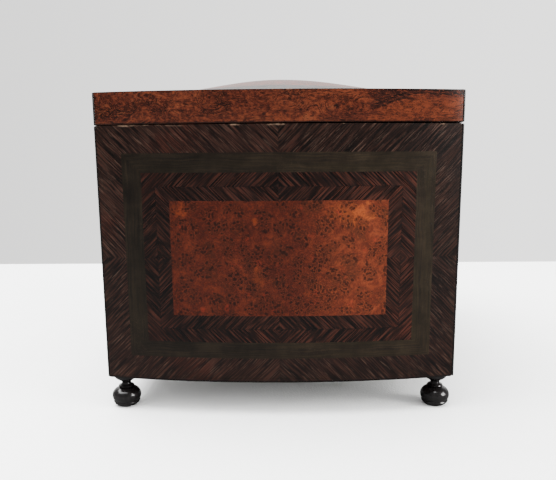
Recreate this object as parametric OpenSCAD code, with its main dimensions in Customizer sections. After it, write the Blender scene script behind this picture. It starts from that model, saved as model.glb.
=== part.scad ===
// Marquetry casket with a hinged domed lid, a keyed lock and a secret base drawer.
// Millimetres, +Z up, front faces -Y, length along X. The origin is under the middle of the
// whole object, key and hinges included, at foot level.

/* [Case] */
// Length over the end corners, at the lid seam
case_l = 290; // [270:5:320]
// Width over the corners, at the lid seam
case_w = 205; // [190:5:220]
// Height of the case without feet or lid
case_h = 144.5; // [130:0.5:160]
// How far each end swells out between its corners
end_bow = 11; // [6:0.5:12]
// How far the front swells out between its corners
front_bow = 12; // [6:0.5:14]
// Inward lean of every wall towards the bottom, in degrees
wall_lean = 0.8; // [0.4:0.1:1.2]
// Thickness of the walls at the corners
wall = 9.8; // [9:0.2:11]
// Thickness of the sawn veneer
veneer = 1.2; // [1:0.1:1.4]

/* [Marquetry] */
// Width of the crossbanded border at the sides and the top
cross_w = 15.2; // [13:0.2:17]
// Width of the green stained band at the sides and the top
green_w = 10.8; // [8:0.2:12]
// Width of the two-row chevron band
chevron_w = 15.4; // [13:0.2:17]
// Width of the crossbanded border along the bottom
cross_low = 14; // [13:0.2:17]
// Width of the green stained band along the bottom
green_low = 9.2; // [8:0.2:12]

/* [Lid] */
// Height of the lid's upright rim
rim_h = 18; // [16:0.2:20]
// Rise of the dome above the rim
dome_rise = 21; // [14:1:24]
// Gap under the lid at the hinges
seam_rear = 0.3; // [0.2:0.1:0.5]
// Gap under the lid at the front, where it stands slightly ajar
seam_front = 1.0; // [0.3:0.1:1.2]
// Lid opening angle at the hinge stops
lid_open = 95; // [92:1:100]

/* [Feet and drawer] */
// Height of the turned feet
foot_h = 20; // [19:0.5:22]
// Distance of a foot's axis from the case's corner edges
foot_inset = 8.3; // [8:0.1:9]
// Width of the secret drawer's front
drawer_w = 160; // [140:5:160]
// Length of the secret drawer's sides
drawer_l = 234; // [220:2:240]
// Drawer travel
drawer_travel = 150; // [140:5:150]

/* [Hidden] */

hx = case_l / 2;
hy = case_w / 2;
seam_z = foot_h + case_h;             // top of the case
rim_z = seam_z + seam_rear + rim_h;   // top edge of the lid's rim
inner_x = hx - veneer - wall;         // inner faces of the walls
inner_y = hy - veneer - wall;
gap = 0.3;                            // air between pieces that move past each other
arc_fn = 256;                         // facets of the very large wall curves
small_fn = 48;                        // facets of turned and drilled shapes
far = 400;                            // beyond the object on every side
over = 0.5;                           // overshoot of a cutting shape

floor_t = 4;                          // bottom board and false bottom
bay_z = foot_h + floor_t;             // floor of the drawer's bay
bay_top = foot_h + cross_low;         // the drawer's top seam lies on a marquetry joint
room_z = bay_top + floor_t;           // floor of the main room
lining_t = 2;

knuckle_r = 2.3;
pin_r = 0.9;
pin_fit = 0.05;                       // running clearance of a pin in its knuckles
leaf_l = 30;
leaf_t = 1.2;
leaf_y = hy - 9.5;                    // inner edge of the hinge leaves
axis_y = hy + 1;
axis_z = seam_z + seam_rear / 2;
hinge_x = 85;
knuckle_l = leaf_l / 5;
knuckle_gap = 0.1;
stop_r = 5.5;                         // reach of the stop flanges from the hinge axis
stop_t = 1.4;
screw_r = 1.1;
screw_l = 7;

key_z = seam_z - 23.5;
key_out = 25;                         // how far the key stands out of the front
key_ring_r = 6.6;
key_wire_r = 1.6;
key_shank_r = 2.2;
key_collar_r = 3.2;
key_bit = 7.5;                        // reach of the key's bit from its axis
keyhole_r = 2.8;
keyhole_w = 3.2;
lock_y = inner_y;                     // inner face of the lock, on the front wall's inner face
lock_half = 20;
lock_t = 6.7;
lock_z = seam_z - 35.5;
lock_plate = 1.2;
link_t = 6.4;                         // depth of the link plate under the lid's front rim
link_half = 15;
link_plate = 1.6;
tab_y = -lock_y - 3;                  // middle of the link plate's tabs and of the bolt
tab_x = 7;                            // the tabs stand at plus and minus this
bolt_low = seam_z - 14.5;             // underside of the bolt's bar
bolt_bar = 3.5;                       // height of that bar
bolt_top = seam_z - 5.9;
bolt_hook = 2.6;                      // height of the bolt's hooks

foot_x = hx - case_h * tan(wall_lean) - foot_inset;
foot_y = hy - case_h * tan(wall_lean) - foot_inset;
spindle_r = 3;
spindle_fit = 0.08;
spindle_top = bay_z + 6;              // top of the feet's spindles, in their blind holes
button_reach = 16;
button_w = 5;
button_hub_r = 4.1;
button_z = bay_z + 1.4;
button_t = 2.4;
drawer_z = bay_z + gap;
drawer_top = bay_top - gap;
side_t = 5;
side_y = drawer_w / 2 - 0.5;          // outer faces of the drawer's sides
drawer_back_x = inner_x + gap - drawer_l;

// Depth at which the modules' own middle plane lies, so that the whole object is centred
middle_y = (hy + front_bow + key_out - axis_y - stop_r * cos(lid_open / 2)
    + gap / 2 * sin(lid_open / 2)) / 2;

// Number of grid cells over the lid's top, and the width of its bands in cells
cells_u = 36;
cells_v = 26;

/* ---- wall shapes ---- */

function bow_radius(chord_half, bow) = (chord_half * chord_half + bow * bow) / (2 * bow);

// Everything inside one bowed end wall, d mm in from its face. side is -1 or 1.
module end_core(side, d) {
    r = bow_radius(hy, end_bow);
    translate([side * (hx + end_bow - r), 0, seam_z])
        rotate([0, side * wall_lean, 0])
            cylinder(r = r - d, h = far, center = true, $fn = arc_fn * 4);
}

// Everything inside the bowed front wall, d mm in from its face
module front_core(d) {
    r = bow_radius(hx, front_bow);
    translate([0, -(hy + front_bow - r), seam_z])
        rotate([wall_lean, 0, 0])
            cylinder(r = r - d, h = far, center = true, $fn = arc_fn * 4);
}

// Everything inside the flat back wall, d mm in from its face
module back_core(d) {
    translate([0, hy - d, seam_z]) rotate([-wall_lean, 0, 0])
        translate([-far, -2 * far, -far]) cube(2 * far);
}

// A slab of the whole plan between two heights, d mm in from every face
module body_form(d, z0, z1) {
    intersection() {
        end_core(-1, d);
        end_core(1, d);
        front_core(d);
        back_core(d);
        translate([-far / 2, -far / 2, z0]) cube([far, far, z1 - z0]);
    }
}

// An upright box between opposite corners
module span(x0, x1, y0, y1, z0, z1) {
    translate([x0, y0, z0]) cube([x1 - x0, y1 - y0, z1 - z0]);
}

/* ---- marquetry ---- */

// The veneer of one wall from z0 to z1, between the corner stringings
module veneer_sheet(face, z0, z1) {
    difference() {
        intersection() {
            body_form(0, z0, z1);
            if (face == "left" || face == "right") intersection() {
                front_core(veneer);
                back_core(veneer);
            } else intersection() {
                end_core(-1, veneer);
                end_core(1, veneer);
            }
        }
        if (face == "left") end_core(-1, veneer);
        if (face == "right") end_core(1, veneer);
        if (face == "front") front_core(veneer);
        if (face == "back") back_core(veneer);
        if (face == "left") span(0, far, -far, far, -far, far);
        if (face == "right") span(-far, 0, -far, far, -far, far);
        if (face == "front") span(-far, far, 0, far, -far, far);
        if (face == "back") span(-far, far, -far, 0, -far, far);
    }
}

// Distance of marquetry seam k from the wall's side and top edges, and from its bottom edge
function seam_in(k) = [0, cross_w, cross_w + green_w, cross_w + green_w + chevron_w][k];
function seam_low(k) = [0, cross_low, cross_low + green_low,
    cross_low + green_low + chevron_w][k];

// The window inside seam k of a wall, with sides that follow the leaning corners
module window(face, k) {
    d = seam_in(k);
    half = (face == "left" || face == "right") ? hy : hx;
    low = half - (case_h - seam_low(k)) * tan(wall_lean) - d;
    high = half - d * tan(wall_lean) - d;
    z0 = foot_h + seam_low(k);
    z1 = seam_z - d;
    turn = (face == "left" || face == "right") ? 90 : 0;
    reach = (face == "left" || face == "front") ? -1 : 1;
    rotate([0, 0, turn])
        translate([0, turn == 90 ? -reach * far / 2 : reach * far / 2, 0])
            rotate([90, 0, 0])
                linear_extrude(far, center = true)
                    polygon([[-low, z0], [low, z0], [high, z1], [-high, z1]]);
}

// The veneer between seam k and seam k + 1
module ring_band(face, k) {
    difference() {
        if (k == 0) {
            veneer_sheet(face, foot_h, seam_z);
        } else {
            intersection() {
                veneer_sheet(face, foot_h, seam_z);
                window(face, k);
            }
        }
        window(face, k + 1);
    }
}

module crossband(face) {
    color("#4a2a22") ring_band(face, 0);
}

module green_band(face) {
    color("#3a3a2c") ring_band(face, 1);
}

module chevron_band(face) {
    color("#3a201c") ring_band(face, 2);
}

module burr_panel(face) {
    color("#9c4a24") intersection() {
        veneer_sheet(face, foot_h, seam_z);
        window(face, 3);
    }
}

/* ---- hinges ---- */

// The barrel clearance and leaf recesses of both hinges, cut from wood and veneer
module hinge_cutouts() {
    for (side = [-1, 1]) {
        translate([side * hinge_x, axis_y, axis_z]) rotate([0, 90, 0])
            cylinder(r = knuckle_r + gap, h = leaf_l + 2 * gap, center = true, $fn = small_fn);
        span(side * hinge_x - leaf_l / 2, side * hinge_x + leaf_l / 2, leaf_y, axis_y,
            seam_z - leaf_t, seam_z + seam_rear + leaf_t);
        for (dx = [-10, 0, 10])
            translate([side * hinge_x + dx, leaf_y + 3.6, axis_z])
                cylinder(r = screw_r, h = 2 * (leaf_t + screw_l), center = true,
                    $fn = small_fn);
    }
}

module knuckles(slots) {
    for (k = slots)
        translate([(k - 2) * knuckle_l - knuckle_l / 2 + knuckle_gap, 0, 0])
            rotate([0, 90, 0])
                cylinder(r = knuckle_r, h = knuckle_l - 2 * knuckle_gap, $fn = small_fn);
}

// One leaf lying flat under (dir -1) or over (dir 1) the seam, with its knuckles and stop flange.
// The webs that join plate and flange to the knuckles are a little thinner than what they join.
module hinge_leaf(dir, slots) {
    plate_z = dir * seam_rear / 2 + (dir < 0 ? -leaf_t : 0);
    flange_z = dir < 0 ? -stop_t - gap / 2 : gap / 2;
    clear_r = knuckle_r + gap;
    thin = 0.15;
    difference() {
        union() {
            translate([-leaf_l / 2, leaf_y - axis_y, plate_z])
                cube([leaf_l, axis_y - leaf_y - clear_r, leaf_t]);
            knuckles(slots);
            for (k = slots) translate([(k - 2) * knuckle_l, 0, 0])
                web(-clear_r - over, -pin_r - over, plate_z + thin, leaf_t - 2 * thin);
            rotate([dir * lid_open / 2, 0, 0]) {
                translate([-leaf_l / 2, clear_r, flange_z])
                    cube([leaf_l, stop_r - clear_r, stop_t]);
                for (k = slots) translate([(k - 2) * knuckle_l, 0, 0])
                    web(pin_r + over, clear_r + over, flange_z + thin, stop_t - 2 * thin);
            }
        }
        rotate([0, 90, 0])
            cylinder(r = pin_r + pin_fit, h = leaf_l + 2, center = true, $fn = small_fn);
        for (dx = [-10, 0, 10])
            translate([dx, leaf_y - axis_y + 3.6, 0])
                cylinder(r = screw_r, h = 6, center = true, $fn = small_fn);
    }
}

// A web on the middle of a knuckle, from depth y0 to y1, its underside at z
module web(y0, y1, z, t) {
    w = knuckle_l - 2 * knuckle_gap - 0.6;
    translate([-w / 2, y0, z]) cube([w, y1 - y0, t]);
}

module hinge_leaves(dir, slots) {
    color("#b08d3c") for (side = [-1, 1])
        translate([side * hinge_x, axis_y, axis_z]) hinge_leaf(dir, slots);
}

// Countersunk screws through the leaves: a flat head in the leaf and a shank in the wood
module hinge_screws(dir) {
    color("#b08d3c") for (side = [-1, 1], dx = [-10, 0, 10])
        translate([side * hinge_x + dx, leaf_y + 3.6, axis_z + dir * seam_rear / 2])
            mirror([0, 0, dir < 0 ? 1 : 0])
                cylinder(r = screw_r, h = leaf_t + screw_l - 1, $fn = small_fn);
}

module hinge_pins() {
    color("#8d6f2e") for (side = [-1, 1])
        translate([side * hinge_x, axis_y, axis_z]) rotate([0, 90, 0])
            cylinder(r = pin_r, h = leaf_l, center = true, $fn = small_fn);
}

/* ---- lock and key ---- */

// The keyhole's outline, run through from y0 to y1
module keyhole(y0, y1) {
    translate([0, y1, key_z]) rotate([90, 0, 0]) {
        cylinder(r = keyhole_r, h = y1 - y0, $fn = small_fn);
        translate([-keyhole_w / 2, -key_bit - 0.8, 0]) cube([keyhole_w, key_bit, y1 - y0]);
    }
}

module lock_block() {
    span(-lock_half, lock_half, -lock_y - lock_t, -lock_y, lock_z, seam_z);
}

module lock_case() {
    cavity_y0 = tab_y - 2.6;
    cavity_y1 = tab_y + 2.1;
    color("#a88a48") difference() {
        lock_block();
        span(-tab_x - 7.6, tab_x + 10, cavity_y0, cavity_y1, bolt_low - 0.6,
            seam_z - lock_plate);
        translate([0, cavity_y1, key_z]) rotate([90, 0, 0])
            cylinder(r = key_bit + 1, h = cavity_y1 - cavity_y0, $fn = small_fn);
        for (side = [-1, 1])
            span(side * tab_x - 1.3, side * tab_x + 1.3, cavity_y0, cavity_y1,
                seam_z - lock_plate - over, seam_z + over);
        keyhole(-lock_y - lock_t - over, tab_y);
    }
}

// A bar with two hooks, which slide through the link plate's tabs
module lock_bolt() {
    bolt_y0 = tab_y - 1.1;
    bolt_y1 = tab_y + 1.1;
    color("#a88a48") union() {
        span(-tab_x - 7.1, tab_x + 5, bolt_y0, bolt_y1, bolt_low, bolt_low + bolt_bar);
        for (x = [-tab_x - 7.1, tab_x - 7.1]) {
            span(x, x + 2, bolt_y0, bolt_y1, bolt_low + bolt_bar - over, bolt_top);
            span(x, x + 5.8, tab_y - 0.9, tab_y + 0.9, bolt_top - bolt_hook, bolt_top);
        }
    }
}

module lock_link_plate() {
    slot_low = bolt_top - bolt_hook - 0.6;
    color("#a88a48") difference() {
        union() {
            span(-link_half, link_half, -lock_y - link_t, -lock_y,
                lid_under(-lock_y - link_t), lid_under(-lock_y - link_t) + link_plate);
            for (side = [-1, 1])
                span(side * tab_x - 0.8, side * tab_x + 0.8, tab_y - 1.7, tab_y + 1.7,
                    slot_low - 1.1, seam_z + 1.5);
        }
        for (side = [-1, 1])
            span(side * tab_x - 2, side * tab_x + 2, tab_y - 1.2, tab_y + 1.2, slot_low,
                bolt_top + 0.6);
    }
}

module escutcheon() {
    face_y = -(hy + front_bow) + (seam_z - key_z) * tan(wall_lean);
    color("#b9984a") difference() {
        translate([0, face_y + 1, key_z - 2.6]) rotate([90, 0, 0]) {
            cylinder(r = 7, h = 2, $fn = 96);
            translate([0, -5, 0]) cylinder(r = 5, h = 2, $fn = 64);
            translate([0, 6, 0]) cylinder(r = 4, h = 2, $fn = 64);
        }
        front_core(0);
        keyhole(face_y - 3, face_y + 3);
    }
}

module key() {
    bow_y = -hy - front_bow - key_out + key_ring_r + key_wire_r;
    color("#6f6a5c") union() {
        translate([0, tab_y + 1, key_z]) rotate([90, 0, 0])
            cylinder(r = key_shank_r, h = tab_y + 1 - bow_y - key_ring_r - 0.4, $fn = small_fn);
        span(-1.1, 1.1, tab_y - 1.8, tab_y + 1, key_z - key_bit, key_z);
        for (y = [4, 6.2])
            translate([0, -hy - front_bow - y, key_z]) rotate([90, 0, 0])
                cylinder(r = key_collar_r, h = 1.4, $fn = small_fn);
        translate([0, bow_y, key_z]) rotate([0, 90, 0])
            rotate_extrude($fn = 64) translate([key_ring_r, 0])
                circle(r = key_wire_r, $fn = 24);
    }
}

/* ---- feet ---- */

// A turned foot: squashed ball with a flat bottom and a groove, ring, waisted neck and bowl-shaped collar
module foot_profile() {
    rotate_extrude($fn = 72) polygon(concat(
        [[0, 0], [4.6, 0], [5.9, 0.5], [7.1, 1.5], [7.8, 2.7], [7.5, 3.2]],
        [for (a = [-30:7.5:82.5]) [3.0 + 5.45 * cos(a), 6.2 + 5.0 * sin(a)]],
        [[4.4, 11.5], [4.65, 11.9], [4.4, 12.3], [3.4, 12.7], [2.8, 13.2], [2.6, 13.9],
            [2.9, 14.6], [4.0, 15.4], [5.5, 16.3], [6.5, 17.2], [6.9, 18.2], [6.9, 18.9],
            [6.6, foot_h - 0.6], [5.8, foot_h], [0, foot_h]]));
}

module foot_at(sx, sy, top) {
    color("#1d1412") translate([sx * foot_x, sy * foot_y, 0]) union() {
        foot_profile();
        translate([0, 0, foot_h - 1])
            cylinder(r = spindle_r, h = top - foot_h + 1, $fn = small_fn);
    }
}

module spigot_holes() {
    for (sx = [-1, 1], sy = [-1, 1])
        translate([sx * foot_x, sy * foot_y, foot_h - 1])
            cylinder(r = spindle_r + (sx > 0 && sy < 0 ? spindle_fit : 0.01),
                h = spindle_top - foot_h + 1.5, $fn = small_fn);
}

// Room for the turning foot's spindle and turn button inside the base
module button_pocket() {
    translate([foot_x, -foot_y, bay_z]) {
        cylinder(r = button_hub_r + gap, h = button_t + 2.4, $fn = small_fn);
        translate([-button_reach - 1.5, -button_w / 2 - 1, 0])
            cube([button_reach + 1.5 + button_w / 2 + 1.2, foot_y, button_t + 2.4]);
    }
}

module turn_button() {
    color("#8d6f2e") translate([foot_x, -foot_y, button_z]) difference() {
        union() {
            cylinder(r = button_hub_r, h = button_t, $fn = small_fn);
            translate([-button_reach, -button_w / 2, 0])
                cube([button_reach, button_w, button_t]);
        }
        translate([0, 0, -over])
            cylinder(r = spindle_r, h = button_t + 2 * over, $fn = small_fn);
    }
}

/* ---- case ---- */

module bottom_board() {
    color("#6b4a30") difference() {
        body_form(veneer, foot_h, bay_z);
        span(inner_x, far, -drawer_w / 2 - gap, drawer_w / 2 + gap, 0, far);
        spigot_holes();
    }
}

module false_bottom() {
    color("#7a5636") span(-inner_x, inner_x, -inner_y, inner_y, bay_top, room_z);
}

module walls() {
    difference() {
        body_form(veneer, bay_z, seam_z);
        hinge_cutouts();
        lock_block();
        keyhole(-far / 2, -lock_y);
        spigot_holes();
        button_pocket();
        span(0, far, -drawer_w / 2 - gap, drawer_w / 2 + gap, 0, bay_top);
    }
}

module front_board() {
    color("#6b4a30") intersection() {
        walls();
        span(-far, far, -far, -inner_y, 0, far);
    }
}

module back_board() {
    color("#6b4a30") intersection() {
        walls();
        span(-far, far, inner_y, far, 0, far);
    }
}

module end_board(side) {
    color("#6b4a30") intersection() {
        walls();
        translate([side * (inner_x + far / 2), 0, far / 2])
            cube([far, 2 * inner_y, far], center = true);
    }
}

module runner(side) {
    y0 = drawer_w / 2;
    color("#7a5636") difference() {
        translate([0, side * (y0 + inner_y) / 2, (bay_z + bay_top) / 2])
            cube([2 * inner_x, inner_y - y0, bay_top - bay_z], center = true);
        spigot_holes();
        button_pocket();
    }
}

module corner_stringings() {
    color("#15100e") difference() {
        body_form(0, foot_h, seam_z);
        intersection() {
            end_core(-1, veneer);
            end_core(1, veneer);
        }
        intersection() {
            front_core(veneer);
            back_core(veneer);
        }
    }
}

module right_crossband() {
    difference() {
        crossband("right");
        span(0, far, -drawer_w / 2 - gap, drawer_w / 2 + gap, 0, bay_top);
    }
}

module back_crossband() {
    difference() {
        crossband("back");
        hinge_cutouts();
    }
}

module front_green_band() {
    difference() {
        green_band("front");
        keyhole(-far / 2, -lock_y);
    }
}

module front_chevron_band() {
    difference() {
        chevron_band("front");
        keyhole(-far / 2, -lock_y);
    }
}

module floor_lining() {
    inset = lining_t;
    color("#5a1420") span(-inner_x + inset, inner_x - inset, -inner_y + inset,
        inner_y - inset, room_z, room_z + lining_t);
}

// Four cloth-covered cards; the front one is cut round the lock
module wall_linings() {
    top = seam_z - 5;
    color("#5a1420") difference() {
        union() {
            for (side = [-1, 1]) {
                span(side * inner_x - (side > 0 ? lining_t : 0),
                    side * inner_x + (side > 0 ? 0 : lining_t), -inner_y, inner_y,
                    room_z, top);
                span(-inner_x + lining_t + 0.1, inner_x - lining_t - 0.1,
                    side * inner_y - (side > 0 ? lining_t : 0),
                    side * inner_y + (side > 0 ? 0 : lining_t), room_z, top);
            }
        }
        span(-lock_half - 1, lock_half + 1, -inner_y - 1, -inner_y + lining_t + 1,
            lock_z - 1, far);
    }
}

/* ---- drawer ---- */

module button_notch(x) {
    translate([x, -foot_y, button_z - gap])
        cylinder(r = button_reach + 0.6, h = button_t + 2 * gap, $fn = 96);
}

module drawer_front() {
    color("#6b4a30") difference() {
        intersection() {
            body_form(veneer, foot_h, bay_top);
            span(inner_x + gap, far, -drawer_w / 2, drawer_w / 2, foot_h + gap, drawer_top);
        }
        button_notch(foot_x);
        translate([inner_x + 8, 0, foot_h]) rotate([90, 0, 0])
            cylinder(r = 4, h = 36, center = true, $fn = small_fn);
    }
}

module drawer_front_veneer() {
    color("#4a2a22") intersection() {
        crossband("right");
        span(0, far, -drawer_w / 2, drawer_w / 2, foot_h + gap, drawer_top);
    }
}

module drawer_sides() {
    color("#8a6640") difference() {
        for (side = [-1, 1])
            translate([0, side * (side_y - side_t / 2), 0])
                span(drawer_back_x, inner_x + gap, -side_t / 2, side_t / 2, drawer_z,
                    drawer_top);
        button_notch(foot_x);
        button_notch(foot_x - drawer_travel);
    }
}

module drawer_back() {
    color("#8a6640") span(drawer_back_x, drawer_back_x + 4, -side_y + side_t,
        side_y - side_t, drawer_z, drawer_top);
}

module drawer_floor() {
    color("#8a6640") span(drawer_back_x + 4, inner_x + gap, -side_y + side_t,
        side_y - side_t, drawer_z, drawer_z + 1.6);
}

/* ---- lid ---- */

panel_z = rim_z - 6.5;                // top of the rim boards, under the domed panel
top_x = hx + (rim_z - seam_z) * tan(wall_lean) - veneer - 0.1;
top_y = hy + (rim_z - seam_z) * tan(wall_lean) - veneer - 0.1;

// Height of the lid's underside at depth y: it rises evenly from the hinges to the front
function lid_under(y) = seam_z + seam_rear
    + (seam_front - seam_rear) * (hy - y) / (case_w + front_bow);

// Everything above the lid's slightly sloping underside
module above_seam() {
    translate([0, hy, seam_z + seam_rear])
        rotate([-atan((seam_front - seam_rear) / (case_w + front_bow)), 0, 0])
            translate([-far, -2 * far, 0]) cube([2 * far, 3 * far, far]);
}

module lid_boards() {
    difference() {
        intersection() {
            body_form(veneer, seam_z, panel_z);
            above_seam();
        }
        span(-inner_x, inner_x, -inner_y, inner_y, 0, far);
        hinge_cutouts();
        span(-link_half, link_half, -lock_y - link_t, -lock_y, 0,
            lid_under(-lock_y - link_t) + link_plate);
    }
}

module lid_front_rim() {
    color("#6b4a30") intersection() {
        lid_boards();
        span(-far, far, -far, -inner_y, 0, far);
    }
}

module lid_back_rim() {
    color("#6b4a30") intersection() {
        lid_boards();
        span(-far, far, inner_y, far, 0, far);
    }
}

module lid_end_rim(side) {
    color("#6b4a30") intersection() {
        lid_boards();
        translate([side * (inner_x + far / 2), 0, far / 2])
            cube([far, 2 * inner_y, far], center = true);
    }
}

module lid_rim_veneer() {
    color("#8e4423") intersection() {
        above_seam();
        difference() {
            union() {
                for (face = ["left", "right", "front", "back"])
                    veneer_sheet(face, seam_z, rim_z);
            }
            hinge_cutouts();
        }
    }
}

module lid_corner_stringings() {
    color("#15100e") intersection() {
        above_seam();
        difference() {
            body_form(0, seam_z, rim_z);
            intersection() {
                end_core(-1, veneer);
                end_core(1, veneer);
            }
            intersection() {
                front_core(veneer);
                back_core(veneer);
            }
        }
    }
}

// Place of a grid point on the lid's top: u and v run from -1 to 1 over the plan
function plan(u, v) = [
    u * (top_x + end_bow * (1 - v * v)),
    v * (top_y + (v < 0 ? front_bow * (1 - u * u) : 0))];

// Height of the dome above the rim: level at the edges, full in the middle
function dome(u, v) = dome_rise * pow((1 - u * u) * (1 - v * v), 1.5);

// A patch of the lid's top over grid cells [i0, i1] by [j0, j1], from height z0 with its rise
// scaled by k0 up to height z1 with the rise scaled by k1
module dome_patch(i0, i1, j0, j1, z0, k0, z1, k1) {
    nu = i1 - i0 + 1;
    nv = j1 - j0 + 1;
    function layer(z, k) = [for (j = [j0:j1], i = [i0:i1])
        let (u = 2 * i / cells_u - 1, v = 2 * j / cells_v - 1, p = plan(u, v))
            [p[0], p[1], z + k * dome(u, v)]];
    function at(i, j) = j * nu + i;
    n = nu * nv;
    top = [for (j = [0:nv - 2], i = [0:nu - 2])
        each [[at(i, j) + n, at(i + 1, j + 1) + n, at(i + 1, j) + n],
            [at(i, j) + n, at(i, j + 1) + n, at(i + 1, j + 1) + n]]];
    bottom = [for (j = [0:nv - 2], i = [0:nu - 2])
        each [[at(i, j), at(i + 1, j), at(i + 1, j + 1)],
            [at(i, j), at(i + 1, j + 1), at(i, j + 1)]]];
    edge = concat(
        [for (i = [0:nu - 2]) [at(i, 0), at(i + 1, 0)]],
        [for (j = [0:nv - 2]) [at(nu - 1, j), at(nu - 1, j + 1)]],
        [for (i = [nu - 1:-1:1]) [at(i, nv - 1), at(i - 1, nv - 1)]],
        [for (j = [nv - 1:-1:1]) [at(0, j), at(0, j - 1)]]);
    sides = [for (e = edge)
        each [[e[0], e[0] + n, e[1] + n], [e[0], e[1] + n, e[1]]]];
    polyhedron(concat(layer(z0, k0), layer(z1, k1)), concat(top, bottom, sides));
}

// A frame of four strips of the top veneer, from cell ring a to cell ring b
module dome_ring(a, b) {
    z0 = rim_z - veneer;
    for (strip = [[a, b, a, cells_v - a], [cells_u - b, cells_u - a, a, cells_v - a],
            [b, cells_u - b, a, b], [b, cells_u - b, cells_v - b, cells_v - a]])
        dome_patch(strip[0], strip[1], strip[2], strip[3], z0, 1, rim_z, 1);
}

module lid_top_panel() {
    color("#6b4a30") dome_patch(0, cells_u, 0, cells_v, panel_z, 0.85, rim_z - veneer, 1);
}

module lid_top_burr() {
    color("#9c4a24")
        dome_patch(5, cells_u - 5, 5, cells_v - 5, rim_z - veneer, 1, rim_z, 1);
}

// Sets a piece at its depth in the object's own frame
module placed() {
    translate([0, middle_y, 0]) children();
}

// Padded cloth inside the lid
module lid_lining() {
    color("#d8c9a8") dome_patch(3, cells_u - 3, 3, cells_v - 3, panel_z - 5, 0.7,
        panel_z - 0.4, 0.8);
}

placed() bottom_board();
placed() false_bottom();
placed() front_board();
placed() back_board();
placed() end_board(-1);  // left_end_board
placed() end_board(1);  // right_end_board
placed() runner(-1);  // front_runner
placed() runner(1);  // back_runner
placed() corner_stringings();
placed() crossband("front");  // front_crossband
placed() front_green_band();
placed() front_chevron_band();
placed() burr_panel("front");  // front_burr_panel
placed() back_crossband();
placed() green_band("back");  // back_green_band
placed() chevron_band("back");  // back_chevron_band
placed() burr_panel("back");  // back_burr_panel
placed() crossband("left");  // left_crossband
placed() green_band("left");  // left_green_band
placed() chevron_band("left");  // left_chevron_band
placed() burr_panel("left");  // left_burr_panel
placed() right_crossband();
placed() green_band("right");  // right_green_band
placed() chevron_band("right");  // right_chevron_band
placed() burr_panel("right");  // right_burr_panel
placed() floor_lining();
placed() wall_linings();
placed() hinge_leaves(-1, [0, 2, 4]);  // hinge_lower_leaves
placed() hinge_screws(-1);  // hinge_lower_screws
placed() hinge_pins();
placed() lock_case();
placed() escutcheon();
placed() foot_at(-1, -1, spindle_top);  // foot_front_left
placed() foot_at(-1, 1, spindle_top);  // foot_back_left
placed() foot_at(1, 1, spindle_top);  // foot_back_right
placed() foot_at(1, -1, spindle_top - 1);  // foot_front_right
placed() turn_button();
placed() drawer_front();
placed() drawer_front_veneer();
placed() drawer_sides();
placed() drawer_back();
placed() drawer_floor();
placed() lid_front_rim();
placed() lid_back_rim();
placed() lid_end_rim(-1);  // lid_left_rim
placed() lid_end_rim(1);  // lid_right_rim
placed() lid_rim_veneer();
placed() lid_corner_stringings();
placed() lid_top_panel();
placed() color("#4a2a22") dome_ring(0, 2);  // lid_top_crossband
placed() color("#3a3a2c") dome_ring(2, 3);  // lid_top_green_band
placed() color("#3a201c") dome_ring(3, 5);  // lid_top_chevron_band
placed() lid_top_burr();
placed() lid_lining();
placed() hinge_leaves(1, [1, 3]);  // hinge_upper_leaves
placed() hinge_screws(1);  // hinge_upper_screws
placed() lock_link_plate();
placed() lock_bolt();
placed() key();
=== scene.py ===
"""Marquetry casket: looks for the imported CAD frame. Metres, +Z up, the front faces -Y."""
import math

import bmesh
import bpy
from mathutils import Matrix, Vector


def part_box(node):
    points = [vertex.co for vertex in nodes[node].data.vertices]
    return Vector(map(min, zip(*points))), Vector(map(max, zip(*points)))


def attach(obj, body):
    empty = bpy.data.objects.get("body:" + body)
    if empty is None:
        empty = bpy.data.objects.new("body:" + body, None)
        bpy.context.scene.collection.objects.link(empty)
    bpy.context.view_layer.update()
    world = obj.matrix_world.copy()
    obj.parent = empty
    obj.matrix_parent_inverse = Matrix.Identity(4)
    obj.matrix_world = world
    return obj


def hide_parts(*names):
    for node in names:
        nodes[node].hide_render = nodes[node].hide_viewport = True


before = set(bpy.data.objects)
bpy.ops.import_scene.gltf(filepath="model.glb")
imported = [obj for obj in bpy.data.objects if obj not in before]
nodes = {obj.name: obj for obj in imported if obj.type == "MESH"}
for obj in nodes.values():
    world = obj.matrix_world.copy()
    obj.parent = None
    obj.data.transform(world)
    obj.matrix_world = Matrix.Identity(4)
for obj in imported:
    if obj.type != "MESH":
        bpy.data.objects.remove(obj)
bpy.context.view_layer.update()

# ---- sizes shared with part.scad, in metres ----
FOOT_H = 0.020
SEAM_Z = 0.1645                # top edge of the case
RIM_Z = 0.1828                 # top edge of the lid's rim
PANEL_Z = 0.09085              # middle height of the walls' burr panels
HX, HY = 0.145, 0.1025         # half of the length and depth between corner edges, at the seam
END_BOW, FRONT_BOW = 0.011, 0.012
LEAN = math.tan(math.radians(0.8))
CROSS, GREEN, CHEVRON = 0.0152, 0.0108, 0.0154    # widths of the marquetry's bands
CROSS_LOW, GREEN_LOW = 0.014, 0.0092              # and of the two outer ones under the panel
VENEER = 0.0012
DOME_RISE = 0.021
CELLS_U, CELLS_V = 36, 26      # the CAD's grid over the lid's top
TOP_X = HX + (RIM_Z - SEAM_Z) * LEAN - VENEER - 0.0001
TOP_Y = HY + (RIM_Z - SEAM_Z) * LEAN - VENEER - 0.0001
# the lid top's bands, as rings of the CAD's grid counted in from the edge
TOP_RINGS = {"lid_top_crossband": (0, 2), "lid_top_green_band": (2, 3),
             "lid_top_chevron_band": (3, 5), "lid_top_burr": (5, 99)}
CHEVRON_JOINT = 4              # the ring where the chevron's two rows meet
LINING = 0.002                 # thickness of the velvet cards
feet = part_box("foot_front_left"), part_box("foot_back_left")
MID = (feet[0][0].y + feet[1][1].y) / 2   # depth of the case's middle plane

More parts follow.
